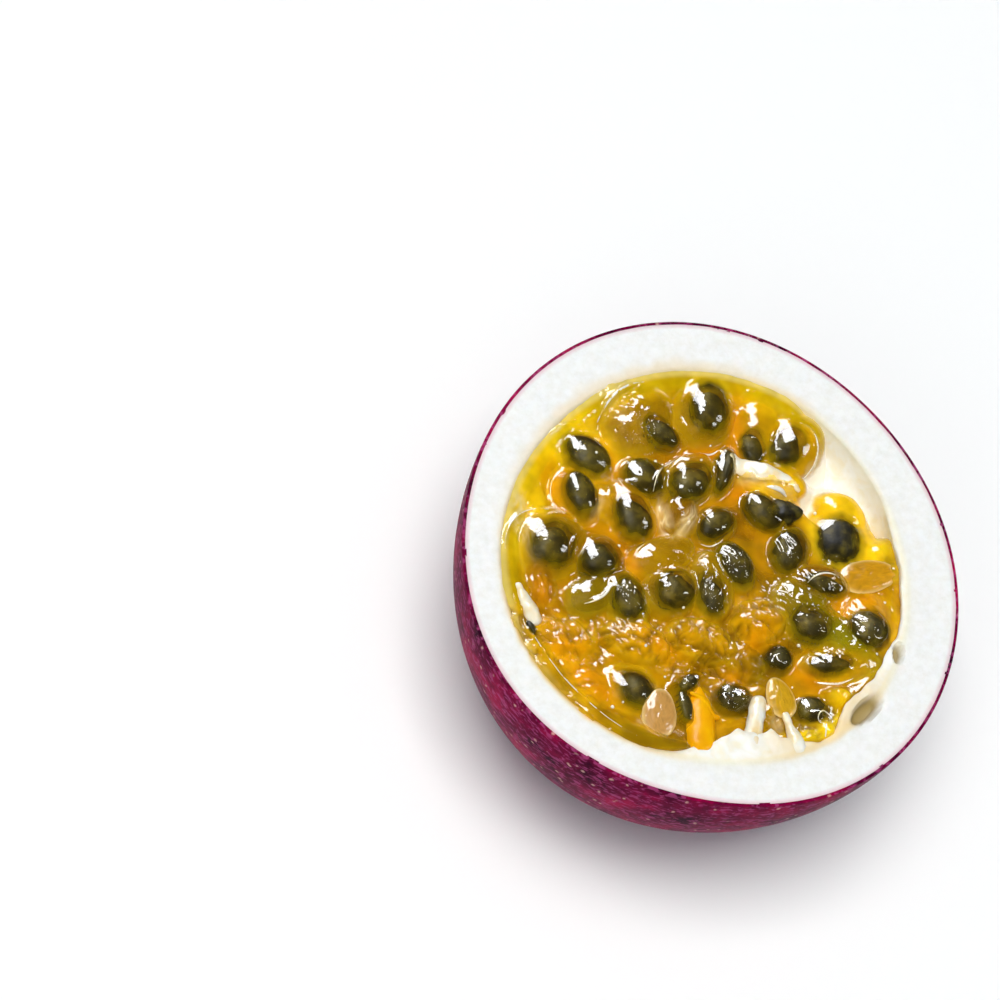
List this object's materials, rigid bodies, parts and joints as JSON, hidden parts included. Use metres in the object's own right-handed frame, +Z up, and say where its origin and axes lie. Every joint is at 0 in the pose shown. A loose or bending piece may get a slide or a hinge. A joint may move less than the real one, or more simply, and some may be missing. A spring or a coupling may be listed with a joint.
{
  "type": "passion fruit half",
  "caption": "Halved purple passion fruit resting on its skin, cut face up, with a thick white rind wall and a cavity filled with juice sacs and dark seeds.",
  "frame": {"origin": "on the surface it rests on, under the middle of the half's box", "axes": "+Z up, out of the cut face; +Y towards the part of the rim opposite the white crest of the seed stalks; +X to the right seen from above"},
  "size_m": [0.0542, 0.0544, 0.0281],
  "materials": {
    "rind": "smooth waxy purple skin with fine pale flecks over a matt white wall",
    "pulp": "wet glossy yellow and orange juice sacs with near-black seeds"
  },
  "bodies": {
    "root": {"shell": "rind", "pulp": "pulp"}
  },
  "joints": []
}
